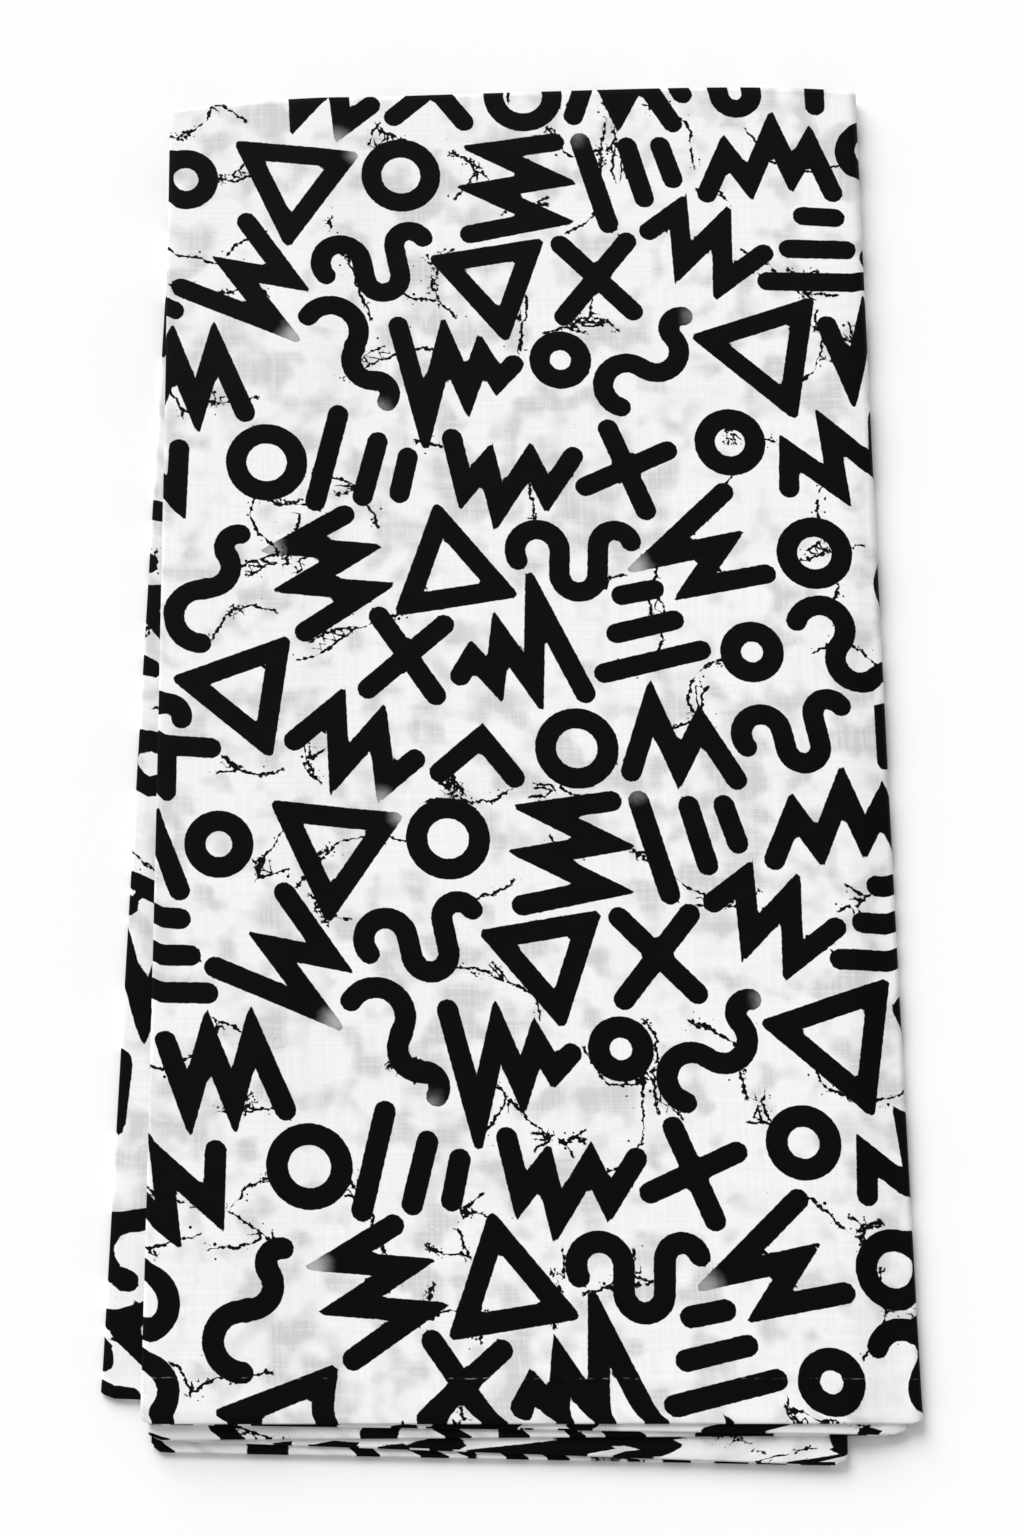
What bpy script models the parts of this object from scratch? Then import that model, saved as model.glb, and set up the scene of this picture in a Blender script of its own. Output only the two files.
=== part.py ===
"""A length of wax print cotton, doubled along its middle and folded back and forth into a flat packet.

Metres, +Z up. X runs across the packet, and Y runs along it from the near end, where the cloth is
doubled, to the far end, where its two selvedges meet. One sheet stands for the two plies together.
"""
import math
from collections import namedtuple

import bmesh
import bpy

NODE_NAME = "folded_cloth"
COLLECTION_NAME = "wax_print_fabric"

# The doubled cloth, and how its layers stack. Layer 1 is on top and layer 7 lies on the surface.
# Layer 6 is the tucked end, layer 5 the lowest that droops over the bottom layer's near edge, and
# layer 4 the upper one of the lower right fold.
SHEET = 0.0012
LAYER_GAP = 0.00035
PITCH = SHEET + LAYER_GAP
LAYERS = 7
TUCKED_LAYER = 6
LOWEST_DROOPING_LAYER = 5
RIGHT_FOLD_LAYER = 4

# Each place where the cloth turns back, in order from its tucked end to its last end.
# side is -1 for a fold on the left, 1 for one on the right and 0 for an end of the cloth.
# x is the outermost point of the turn at the near end, halfway and at the far end.
Turn = namedtuple("Turn", "name side x_near x_half x_far y_near y_far")
TURNS = (
    Turn("tucked end", 0, -0.1220, -0.1080, -0.0940, -0.2755, 0.2850),
    Turn("cover fold", -1, -0.1700, -0.1606, -0.1505, -0.2730, 0.2835),
    Turn("outer wrap", 1, 0.1535, 0.1518, 0.1517, -0.2870, 0.2880),
    Turn("top left fold", -1, -0.1534, -0.1520, -0.1524, -0.2835, 0.2820),
    Turn("upper right fold", 1, 0.1468, 0.1466, 0.1460, -0.2912, 0.2830),
    Turn("lower left fold", -1, -0.1505, -0.1490, -0.1465, -0.2895, 0.2790),
    Turn("lower right fold", 1, 0.1232, 0.1350, 0.1460, -0.3025, 0.2760),
    Turn("last end", 0, -0.1497, -0.1400, -0.1280, -0.2940, 0.2800),
)
TUCKED_END, COVER_FOLD, OUTER_WRAP = TURNS[:3]
LOWER_RIGHT_FOLD = TURNS[6]

# The runs of cloth between those turns, with how far each one's far edge arches.
Run = namedtuple("Run", "layer far_arch")
RUNS = (
    Run(6, 0.0000),
    Run(7, 0.0030),
    Run(1, 0.0042),
    Run(2, 0.0030),
    Run(3, 0.0020),
    Run(4, 0.0020),
    Run(5, 0.0010),
)

# How far the layers above take to settle beside the tucked end and beside the lower right fold,
# and how far the near edges reach before they have drooped close to the surface. Each starts a little
# past the edge that it bends over.
EDGE_MARGIN = 0.004
TUCK_SETTLE = 0.035
CORNER_SETTLE = 0.022
DROOP_REACH = 0.014
FLOOR_CLEARANCE = 0.0014

# Shares of a run, from left to right, and of the packet's length, from near to far.
RUN_SHARES = (0, 0.05, 0.11, 0.16, 0.21, 0.26, 0.31, 0.45, 0.6, 0.75, 0.88, 0.92, 0.95, 0.975, 1)
LENGTH_SHARES = (0, 0.008, 0.016, 0.024, 0.032, 0.045, 0.1, 0.2, 0.35, 0.5, 0.65, 0.8, 0.92, 1)
FOLD_STEPS = 8
WRAP_STEPS = 12

# How often a fold's centre and its radius are fitted to each other.
RADIUS_ROUNDS = 3

COTTON_COLOUR = (0.86, 0.86, 0.85, 1.0)
COTTON_ROUGHNESS = 0.85


def clear_scene():
    for item in list(bpy.data.objects):
        bpy.data.objects.remove(item, do_unlink=True)


def smooth_step(share):
    share = min(max(share, 0.0), 1.0)
    return share * share * (3 - 2 * share)


def mix(start, end, share):
    return start + (end - start) * share


def turn_x(turn, length_share):
    """The curve through a turn's three outermost points."""
    near_half = 2 * (length_share - 0.5) * (length_share - 1) * turn.x_near
    middle = 4 * length_share * (1 - length_share) * turn.x_half
    far_half = 2 * length_share * (length_share - 0.5) * turn.x_far
    return near_half + middle + far_half


def settle(layer, x, length_share):
    """How far a layer sinks where the layers under it stop short."""
    sinking = 0.0
    if layer < TUCKED_LAYER:
        past_tuck = x - turn_x(TUCKED_END, length_share) - EDGE_MARGIN
        sinking += PITCH * smooth_step(past_tuck / TUCK_SETTLE)
    if layer < RIGHT_FOLD_LAYER:
        past_fold = x - turn_x(LOWER_RIGHT_FOLD, length_share)
        sinking += 2 * PITCH * smooth_step(past_fold / CORNER_SETTLE)
    return sinking


def flat_height(layer, x, length_share):
    return SHEET / 2 + (LAYERS - layer) * PITCH - settle(layer, x, length_share)


def cover_near_y(x):
    """The near edge of the bottom layer, which the upper layers hang over."""
    left, right = COVER_FOLD, OUTER_WRAP
    share = (x - left.x_near) / (right.x_near - left.x_near)
    return mix(left.y_near, right.y_near, share)


def height(layer, x, y, length_share):
    """The middle of the sheet above the surface."""
    level = flat_height(layer, x, length_share)
    if layer >= TUCKED_LAYER:
        return level
    lowest = flat_height(LOWEST_DROOPING_LAYER, x, length_share) - SHEET / 2 - FLOOR_CLEARANCE
    overhang = cover_near_y(x) - EDGE_MARGIN - y
    return level - lowest * smooth_step(overhang / DROOP_REACH)


def turn_centre(turn, radius, length_share):
    return turn_x(turn, length_share) - turn.side * (radius + SHEET / 2)


def fold_depths(index, length_share, y):
    """The heights of the runs before and after a fold, at its centre, and its radius."""
    turn = TURNS[index]
    radius = abs(RUNS[index].layer - RUNS[index - 1].layer) * PITCH / 2
    for _ in range(RADIUS_ROUNDS):
        x = turn_centre(turn, radius, length_share)
        before = height(RUNS[index - 1].layer, x, y, length_share)
        after = height(RUNS[index].layer, x, y, length_share)
        radius = abs(after - before) / 2
    return before, after, radius


def run_end(index, length_share):
    """Where a run meets the turn with this number."""
    turn = TURNS[index]
    if not turn.side:
        return turn_x(turn, length_share)
    y = mix(turn.y_near, turn.y_far, length_share)
    radius = fold_depths(index, length_share, y)[2]
    return turn_centre(turn, radius, length_share)


def run_points(index, length_share):
    """A run from its first turn to its next one."""
    run = RUNS[index]
    first, last = TURNS[index], TURNS[index + 1]
    start, end = run_end(index, length_share), run_end(index + 1, length_share)
    shares = RUN_SHARES if end > start else [1 - share for share in reversed(RUN_SHARES)]
    for share in shares:
        x = mix(start, end, share)
        arch = run.far_arch * (1 - abs(2 * share - 1) ** 4)
        y_near = mix(first.y_near, last.y_near, share)
        y_far = mix(first.y_far, last.y_far, share) + arch
        y = mix(y_near, y_far, length_share)
        yield x, y, height(run.layer, x, y, length_share)


def fold_points(index, length_share):
    """The inner points of the half circle in which the cloth turns back."""
    turn = TURNS[index]
    y = mix(turn.y_near, turn.y_far, length_share)
    before, after, radius = fold_depths(index, length_share, y)
    x = turn_centre(turn, radius, length_share)
    steps = WRAP_STEPS if turn is OUTER_WRAP else FOLD_STEPS
    for step in range(1, steps):
        angle = math.pi * step / steps
        z = mix(before, after, (1 - math.cos(angle)) / 2)
        yield x + turn.side * radius * math.sin(angle), y, z


def section(length_share):
    """One line across the packet, all along the cloth's path."""
    points = []
    for index in range(len(RUNS)):
        if index:
            points.extend(fold_points(index, length_share))
        points.extend(run_points(index, length_share))
    return points


def cotton_material():
    material = bpy.data.materials.new("cotton")
    material.use_nodes = True
    shader = material.node_tree.nodes["Principled BSDF"]
    shader.inputs["Base Color"].default_value = COTTON_COLOUR
    shader.inputs["Roughness"].default_value = COTTON_ROUGHNESS
    shader.inputs["Metallic"].default_value = 0.0
    return material


def folded_sheet():
    """A flat grid laid along the sections, then given its thickness."""
    sections = [section(share) for share in LENGTH_SHARES]
    columns = len(sections[0]) - 1
    rows = len(sections) - 1
    grid = bmesh.new()
    bmesh.ops.create_grid(grid, x_segments=columns, y_segments=rows, size=0.5)
    for vertex in grid.verts:
        column = round((vertex.co.x + 0.5) * columns)
        row = round((vertex.co.y + 0.5) * rows)
        vertex.co = sections[row][column]
    centre_across(grid)
    mesh = bpy.data.meshes.new(NODE_NAME)
    grid.to_mesh(mesh)
    grid.free()
    cloth = bpy.data.objects.new(NODE_NAME, mesh)
    thickness = cloth.modifiers.new("sheet", "SOLIDIFY")
    thickness.thickness = SHEET
    thickness.offset = 0
    return cloth


def centre_across(grid):
    """Puts the middle of the packet's outline over the origin."""
    xs = [vertex.co.x for vertex in grid.verts]
    ys = [vertex.co.y for vertex in grid.verts]
    middle_x = (min(xs) + max(xs)) / 2
    middle_y = (min(ys) + max(ys)) / 2
    for vertex in grid.verts:
        vertex.co.x -= middle_x
        vertex.co.y -= middle_y


def build():
    clear_scene()
    collection = bpy.data.collections.new(COLLECTION_NAME)
    bpy.context.scene.collection.children.link(collection)
    cloth = folded_sheet()
    cloth.data.materials.append(cotton_material())
    collection.objects.link(cloth)


build()
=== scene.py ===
"""Wax print cotton, doubled along its middle and folded back and forth into a flat packet.

Metres, +Z up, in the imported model's frame. X runs across the packet, and Y runs along it from the
near end, where the cloth is doubled, to the far end, where its two selvedges meet.
"""
import math
import random
from collections import namedtuple

import bmesh
import bpy
import numpy as np
from mathutils import Matrix, Vector


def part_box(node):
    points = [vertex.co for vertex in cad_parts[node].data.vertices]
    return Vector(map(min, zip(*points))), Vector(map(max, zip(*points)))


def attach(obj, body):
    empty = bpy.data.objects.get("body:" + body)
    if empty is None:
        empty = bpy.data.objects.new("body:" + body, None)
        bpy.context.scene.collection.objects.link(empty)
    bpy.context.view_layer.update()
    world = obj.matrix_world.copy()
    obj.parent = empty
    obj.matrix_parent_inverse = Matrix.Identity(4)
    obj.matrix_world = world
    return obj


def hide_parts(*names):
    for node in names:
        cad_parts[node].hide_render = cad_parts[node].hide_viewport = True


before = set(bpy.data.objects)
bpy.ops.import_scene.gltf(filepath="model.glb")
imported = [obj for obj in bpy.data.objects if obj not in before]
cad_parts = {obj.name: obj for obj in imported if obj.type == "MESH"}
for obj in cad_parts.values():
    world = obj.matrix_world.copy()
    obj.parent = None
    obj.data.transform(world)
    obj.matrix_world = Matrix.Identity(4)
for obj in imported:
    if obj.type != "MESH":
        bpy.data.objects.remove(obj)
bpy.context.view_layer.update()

MM = 0.001
TINY = 1e-12
NODE = "folded_cloth"
FLAT_SIZE = (1.14, 1.824)

# The doubled cloth, and how its layers stack. Layer 1 is on top and layer 7 lies on the surface.
# Layer 6 is the tucked end, layer 5 the lowest that droops over the bottom layer's near edge, and
# layer 4 the upper one of the lower right fold.
SHEET = 1.2 * MM
LAYER_GAP = 0.35 * MM
PITCH = SHEET + LAYER_GAP
LAYERS = 7
TUCKED_LAYER = 6
LOWEST_DROOPING_LAYER = 5
RIGHT_FOLD_LAYER = 4

# How far each ply's outer face lies from the middle of the doubled cloth, and how much more beside the
# near bend, which fades out over NEAR_PUFF_REACH. At the cut edges, a narrow lip turns in to the share
# LIP_SIDE of that distance.
PLY_OFFSET = 0.5 * MM
NEAR_PUFF = 0.4
NEAR_PUFF_REACH = 6 * MM
LIP_SIDE = 0.3

# Each place where the cloth turns back, in order from its tucked end to its last end.
# side is -1 for a fold on the left, 1 for one on the right and 0 for an end of the cloth.
# x is the outermost point of the turn at the near end, halfway and at the far end.
Turn = namedtuple("Turn", "name side x_near x_half x_far y_near y_far")
TURNS = (
    Turn("tucked end", 0, -0.1220, -0.1080, -0.0940, -0.2755, 0.2850),
    Turn("cover fold", -1, -0.1700, -0.1606, -0.1505, -0.2730, 0.2835),
    Turn("outer wrap", 1, 0.1535, 0.1518, 0.1517, -0.2870, 0.2880),
    Turn("top left fold", -1, -0.1534, -0.1520, -0.1524, -0.2835, 0.2820),
    Turn("upper right fold", 1, 0.1468, 0.1466, 0.1460, -0.2912, 0.2830),
    Turn("lower left fold", -1, -0.1505, -0.1490, -0.1465, -0.2895, 0.2790),
    Turn("lower right fold", 1, 0.1232, 0.1350, 0.1460, -0.3025, 0.2760),
    Turn("last end", 0, -0.1497, -0.1400, -0.1280, -0.2940, 0.2800),
)
TUCKED_END, COVER_FOLD, OUTER_WRAP, TOP_LEFT_FOLD = TURNS[:4]
LOWER_RIGHT_FOLD = TURNS[6]

# The runs of cloth between those turns, with how far each one's far edge arches.
Run = namedtuple("Run", "layer far_arch")
RUNS = (
    Run(6, 0.0000),
    Run(7, 0.0030),
    Run(1, 0.0042),
    Run(2, 0.0030),
    Run(3, 0.0020),
    Run(4, 0.0020),
    Run(5, 0.0010),
)
TOP_RUN = 2

# How far the layers above take to settle beside the tucked end and beside the lower right fold,
# and how far the near edges reach before they have drooped close to the surface. The first and the
# last start EDGE_MARGIN past the edge that they bend over. A fold's corner at its near edge is drawn
# in by CORNER_ROUND, less and less over CORNER_REACH.
EDGE_MARGIN = 4 * MM
TUCK_SETTLE = 35 * MM
CORNER_SETTLE = 22 * MM
DROOP_REACH = 14 * MM
FLOOR_CLEARANCE = 1.4 * MM
CORNER_ROUND = 2.6 * MM
CORNER_REACH = 5.0 * MM

# The mesh: the steps along a run, across the width and round the folds, and how many steps are
# merged where the cloth is hidden or seen only from below.
RUN_STEPS = 152
TUCK_STEPS = 24
FOLD_STEPS = 8
WRAP_STEPS = 12
NEAR_BEND_STEPS = 6
NEAR_BAND_SHARE = 0.044
NEAR_BAND_STEPS = 10
FINE_STEPS = 280
HIDDEN_MERGE = 8
COVER_MERGE = 2
FINE_COLUMNS = ("fold 1", "fold 2", "run 2", "fold 3")
COVER_COLUMNS = ("run 0", "run 1")

# How often a fold's centre and its radius are fitted to each other.
RADIUS_ROUNDS = 3

# The layout of a baked picture, with most room for the face that shows on top: places along the
# cloth's path and across its width, in metres, and where they fall in the layout.
BAKE_PATH = ((0.0, 0.01), (0.05, 0.05), (0.385, 0.26), (0.70, 0.80), (FLAT_SIZE[1], 0.99))
BAKE_ACROSS = ((-FLAT_SIZE[0] / 2, 0.01), (-0.03, 0.06), (0.0, 0.12), (FLAT_SIZE[0] / 2, 0.99))

# Soft troughs and ridges in the top of the packet. height is below 0 for a trough.
Crease = namedtuple("Crease", "x y turn length width height")
CREASES = (
    Crease(-0.095, 0.190, 72, 0.110, 0.020, 0.45 * MM),
    Crease(-0.020, 0.235, 8, 0.090, 0.026, -0.35 * MM),
    Crease(0.078, 0.170, 102, 0.120, 0.022, 0.40 * MM),
    Crease(0.020, 0.085, 28, 0.100, 0.024, -0.35 * MM),
    Crease(-0.088, 0.045, 96, 0.120, 0.022, -0.35 * MM),
    Crease(0.105, 0.015, 80, 0.110, 0.020, 0.45 * MM),
    Crease(-0.010, -0.020, 2, 0.150, 0.014, 0.40 * MM),
    Crease(-0.060, -0.105, 64, 0.110, 0.024, 0.40 * MM),
    Crease(0.050, -0.120, 110, 0.100, 0.022, -0.35 * MM),
    Crease(0.112, -0.185, 84, 0.110, 0.018, 0.40 * MM),
    Crease(-0.030, -0.205, 12, 0.100, 0.024, -0.30 * MM),
)

# The pressed crease that crosses the top near its near edge.
PRESSED_Y_LEFT = -0.2665
PRESSED_Y_RIGHT = -0.2705
PRESSED_WIDTH = 1.6 * MM
PRESSED_HEIGHT = 0.22 * MM

# The print repeats in a square, turned a little on the cloth. Each mark is a stroke of one width. The
# tips say how far a corner may point, in halves of that width.
REPEAT = 300 * MM
STROKE = 8.8 * MM
PRINT_TURN = 2.5
PRINT_SHIFT = (0.012, 0.021)
SHARP_TIP = 2.7
BLUNT_TIP = 1.5
ROUND_TIP = 1.0
ARC_STEP = 9
MARK_REACH = 58 * MM

# How the marks settle: first as discs of ROOM_SHARE times their mean reach, and then by samples along
# their strokes, until MARK_MARGIN lies between them. Samples that start more than SETTLE_REACH apart
# leave each other alone. A longer TWIST_ARM makes the pushes turn a mark less.
MARK_MARGIN = 2.6 * MM
SAMPLE_STEP = 5 * MM
ROOM_SHARE = 1.35
SETTLE_REACH = 30 * MM
SETTLE_ROUNDS = 150
SETTLE_PACE = 0.4
TWIST_ARM = 20 * MM

# Straight marks, as lines of corners in millimetres about the mark's middle.
STRAIGHT = {
    "chevron": (((-15, -9), (1, 8), (16, -8)),),
    "wave": (((-26, 3), (-16, 17), (-7, -8), (5, 16), (13, -12), (27, 8)),),
    "peaks": (((-29, -14), (-19, 7), (-9, -9), (3, 17), (11, -5), (20, 10), (29, -15)),),
    "stairs": (((15, 27), (-14, 17), (16, 8), (-13, -3), (18, -12), (-16, -26)),),
    "bolt": (((-22, 24), (-13, -23), (-1, 9), (9, -15), (22, 17)),),
    "falling": (((-27, 24), (-17, -26), (-5, 14), (4, -12), (12, 8), (19, -6), (27, 2)),),
    "spear": (((-24, -10), (-9, 16), (-4, -12), (9, 4), (18, -22)),),
    "cross": (((-15, -17), (15, 17)), ((-14, 17), (15, -16))),
    "plus": (((-19, 0), (20, 1)), ((0, -20), (1, 20))),
    "stack": (((-6, 17), (8, 17)), ((-12, 1), (13, 2)), ((-21, -15), (21, -13))),
    "fence": (((-19, -20), (-18, 21)), ((0, -13), (1, 13)), ((15, -8), (15, 9))),
    "triangle": (((-20, 16), (20, 17), (1, -19), (-20, 16)),),
}
# Curled marks, as chains of arcs.
Arc = namedtuple("Arc", "x y radius first last")
CURLED = {
    "ring": (Arc(0, 0, 13, 0, 360),),
    "small ring": (Arc(0, 0, 9, 0, 360),),
    "hook": (Arc(-15, 0, 12.5, 205, 20), Arc(7, 8, 10, 200, 330), Arc(21, 0, 6.5, 150, 20)),
    "snake": (Arc(-15, 2, 10, 210, 0), Arc(3.5, -8, 8.5, 180, 360), Arc(19.5, 6, 7.5, 180, 20)),
    "swirl": (Arc(-17, 5, 11, 180, -20), Arc(3, -3, 10.5, 155, 330), Arc(17.3, -11.2, 6, 150, 10)),
}

# About where each mark lies in the repeat, in millimetres, with its turn in degrees and its size.
Mark = namedtuple("Mark", "kind x y turn size")
MARKS = (
    Mark("triangle", 22, 279, -6, 1.05),
    Mark("ring", 70, 280, 0, 1.0),
    Mark("stairs", 122, 276, -10, 0.95),
    Mark("fence", 174, 279, 4, 1.0),
    Mark("peaks", 228, 282, 8, 0.95),
    Mark("small ring", 277, 281, 0, 1.1),
    Mark("bolt", 2, 232, 64, 0.95),
    Mark("snake", 56, 238, 8, 0.90),
    Mark("triangle", 106, 228, 14, 0.95),
    Mark("cross", 152, 232, 6, 1.0),
    Mark("wave", 202, 240, -14, 0.95),
    Mark("stack", 254, 234, -8, 1.0),
    Mark("hook", 34, 196, -30, 0.95),
    Mark("falling", 88, 184, 0, 0.90),
    Mark("small ring", 134, 190, 0, 1.0),
    Mark("swirl", 178, 190, 60, 0.95),
    Mark("triangle", 224, 192, 24, 1.1),
    Mark("stairs", 274, 186, 80, 0.90),
    Mark("ring", 6, 152, 0, 1.0),
    Mark("fence", 50, 146, -12, 1.0),
    Mark("peaks", 106, 136, 176, 0.90),
    Mark("plus", 158, 140, 14, 1.0),
    Mark("small ring", 204, 148, 0, 1.2),
    Mark("wave", 250, 136, 30, 0.95),
    Mark("stairs", 26, 100, 14, 0.90),
    Mark("triangle", 78, 98, 186, 1.0),
    Mark("snake", 132, 96, -20, 0.95),
    Mark("bolt", 186, 98, -64, 0.90),
    Mark("ring", 234, 94, 0, 0.9),
    Mark("hook", 282, 92, 60, 0.95),
    Mark("cross", 62, 58, -14, 0.95),
    Mark("falling", 110, 54, 180, 0.90),
    Mark("stack", 158, 54, 12, 1.0),
    Mark("small ring", 204, 54, 0, 1.0),
    Mark("swirl", 250, 52, -20, 0.95),
    Mark("triangle", 290, 40, 30, 1.0),
    Mark("wave", 34, 20, 160, 0.95),
    Mark("chevron", 86, 14, -10, 1.0),
    Mark("ring", 130, 12, 0, 1.0),
    Mark("spear", 172, 14, 20, 1.0),
    Mark("snake", 222, 8, 12, 0.85),
    Mark("chevron", 262, 20, 40, 0.85),
)

# Of these kinds, each mark whose number divides by FADE_EVERY has a washed out corner or end. An end
# fades less.
POINTED = ("wave", "peaks", "stairs", "bolt", "falling", "triangle")
OPEN_ENDED = ("hook", "snake", "swirl", "fence")
FADE_EVERY = 3
FADE_REACH = 12 * MM
END_FADE = 0.6

# The veins repeat in a square of their own, in which each cell of a grid holds one main vein. A vein
# bends one way all along, and turns aside by up to VEIN_CROOK degrees at each step.
VEIN_SEED = 7
VEIN_REPEAT = 410 * MM
VEIN_GRID = 8
VEIN_STEP = 4 * MM
VEIN_LENGTHS = (12 * MM, 66 * MM)
VEIN_BEND = 12
VEIN_CROOK = 24
MOST_BRANCHES = 3
BRANCH_ANGLES = (35, 75)
BRANCH_LENGTHS = (0.2, 0.5)
VEIN_REACH = 10 * MM

# The printed cotton, in millimetres of flat cloth and in shades from 0, black, to 1, white. A pair is
# where a soft step starts and ends, or what it leads from and to. A grain, patch or cloud is the size
# of a noise's features. A shake is that size and how far it moves a point, and a sway how far a noise
# moves a line.
THREAD_PITCH = 0.93
THREAD_SHAKE = (4.0, 0.5)
STREAK_WIDTH = 1.3
STREAK_SQUEEZE = 0.04
WEAVE_STRENGTH = 0.35
WEAVE_DEPTH = 0.06 * MM

GROUND = 0.91
DARK_THREAD = 0.94
THREAD_STEP = (0.35, 0.65)
DAPPLE = 0.50
DAPPLE_CLOUD = 15.0
DAPPLE_SHAKE = (12.0, 6.0)
DAPPLE_STEP = (0.44, 0.70)
WIDE_CLOUD = 60.0
WIDE_WEIGHT = 0.5
STREAK_TINT = ((0.30, 0.60), (0.5, 1.25))
WEAVE_TINT = ((0.30, 0.75), (0.25, 1.0))

INK = 0.0015
INK_CLOUD = 9.0
INK_FACTORS = (0.6, 1.6)
EDGE_GRAIN = 2.2
EDGE_RAGGED = 0.7
EDGE_SOFT = 0.16
FADE_GRAIN = 5.0
FADE_SWAY = 0.3
FADE_STEP = (0.20, 1.0)
MOST_FADED = 0.5
RUB_CLOUD = 9.0
RUB_SWAY = 1.6
RUB_WIDTH = (0.05, 0.30)
RUB_GRAIN = 4.0
RUB_GAPS = (0.47, 0.66)
MOST_RUBBED = 0.22

VEIN_CLOUD = 4.5
VEIN_SWAY = 3.2
VEIN_GRAIN = 1.7
VEIN_RAGGED = (0.30, 0.72)
VEIN_WIDTH = (0.16, 1.10)
VEIN_PATCH = 8.0
VEIN_GAPS = (0.31, 0.46)
VEIN_SOFT = 0.12
VEIN_CUT = (2.2, 3.2)
LARGEST_SPECK = 0.20
SPECK_SOFT = 0.05
SPECK_PITCH = 3.2
SPECK_RARITY = 0.76
SPECK_REACH = (2.0, 9.0)
SPECK_GROWTH = (1.3, 0.40)
SPRAY_PITCH = 1.9
SPRAY_RARITY = 0.45
SPRAY_PATCH = 16.0
SPRAY_CHOSEN = (0.48, 0.60)
SPRAY_REACH = (2.5, 7.5)
SPRAY_GROWTH = (1.5, 0.0)
SCRATCH_GRAIN = 1.4
SCRATCH_GAIN = 0.30
SCRATCH_PATCH = 13.0
SCRATCH_CHOSEN = (0.54, 0.68)
SCRATCH_REACH = (1.0, 5.0)
SCRATCH_STEP = (0.74, 0.79)

BARE_ROUGHNESS = 0.84
INKED_ROUGHNESS = 0.62
CLOTH_SPECULAR = 0.05
SHEEN = 0.01
SHEEN_ROUGHNESS = 0.5

# Offsets that keep one noise of the cloth apart from another.
WIDE_OFFSET = (500.0, 0.0, 0.0)
GAPS_OFFSET = (40.0, 700.0, 0.0)
SPRAY_OFFSET = (310.0, 60.0, 0.0)
SCRATCH_OFFSET = (15.0, 220.0, 0.0)

# The floor and the soft light, which comes from the far left.
FLOOR = 0.97
FLOOR_SIZE = 60.0
FLOOR_STEPS = 16
FLOOR_CLOUD = 0.4
FLOOR_SHADE = 0.995
FLOOR_ROUGHNESS = (0.85, 0.95)
FLOOR_SPECULAR = 0.1
WORLD_LIGHT = 0.47
KEY_FROM = (-0.55, 1.0, 0.70)
KEY_LIGHT = 3.28
KEY_SPREAD = 44.0

# The camera, which looks down on the packet from its near end.
LENS = 67.0
SENSOR = 36.0
ELEVATION = 75.0
ROLL = -0.72
AIM = (0.0035, -0.0118, 0.0)
DISTANCE = 1.195


def smooth_step(share):
    share = np.clip(share, 0.0, 1.0)
    return share * share * (3 - 2 * share)


def mix(start, end, share):
    return start + (end - start) * share


def turn_x(turn, length_share):
    """The curve through a turn's three outermost points."""
    near_half = 2 * (length_share - 0.5) * (length_share - 1) * turn.x_near
    middle = 4 * length_share * (1 - length_share) * turn.x_half
    far_half = 2 * length_share * (length_share - 0.5) * turn.x_far
    return near_half + middle + far_half


def settle(layer, x, length_share):
    """How far a layer sinks where the layers under it stop short."""
    sinking = 0.0
    if layer < TUCKED_LAYER:
        past_tuck = x - turn_x(TUCKED_END, length_share) - EDGE_MARGIN
        sinking = sinking + PITCH * smooth_step(past_tuck / TUCK_SETTLE)
    if layer < RIGHT_FOLD_LAYER:
        past_fold = x - turn_x(LOWER_RIGHT_FOLD, length_share)
        sinking = sinking + 2 * PITCH * smooth_step(past_fold / CORNER_SETTLE)
    return sinking


def flat_height(layer, x, length_share):
    return SHEET / 2 + (LAYERS - layer) * PITCH - settle(layer, x, length_share)


def cover_near_y(x):
    """The near edge of the bottom layer, which the upper layers hang over."""
    left, right = COVER_FOLD, OUTER_WRAP
    share = (x - left.x_near) / (right.x_near - left.x_near)
    return mix(left.y_near, right.y_near, share)


def crease_height(crease, x, y):
    """A soft ridge or trough that fades out all round."""
    angle = math.radians(crease.turn)
    along = (x - crease.x) * math.cos(angle) + (y - crease.y) * math.sin(angle)
    across = (y - crease.y) * math.cos(angle) - (x - crease.x) * math.sin(angle)
    fade = (2 * along / crease.length) ** 2 + (across / crease.width) ** 2
    return crease.height * np.exp(-fade)


def pressed_distance(x, y):
    """How far a point lies beyond the pressed crease, below 0 on the near side of it."""
    share = x / (OUTER_WRAP.x_near - TOP_LEFT_FOLD.x_near) + 0.5
    return y - mix(PRESSED_Y_LEFT, PRESSED_Y_RIGHT, share)


def relief(layer, x, y):
    """The unevenness of the stack, which fades towards the layer that lies on the surface."""
    share = (LAYERS - layer) / (LAYERS - 1)
    rise = sum(crease_height(crease, x, y) for crease in CREASES) * share
    if layer == RUNS[TOP_RUN].layer:
        rise = rise + PRESSED_HEIGHT * np.exp(-((pressed_distance(x, y) / PRESSED_WIDTH) ** 2))
    return rise


def height(layer, x, y, length_share):
    """The middle of the doubled cloth above the surface."""
    level = flat_height(layer, x, length_share)
    if layer < TUCKED_LAYER:
        lowest = flat_height(LOWEST_DROOPING_LAYER, x, length_share) - SHEET / 2 - FLOOR_CLEARANCE
        overhang = cover_near_y(x) - EDGE_MARGIN - y
        level = level - lowest * smooth_step(overhang / DROOP_REACH)
    return level + relief(layer, x, y)


def turn_centre(turn, radius, length_share):
    return turn_x(turn, length_share) - turn.side * (radius + SHEET / 2)


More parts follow.
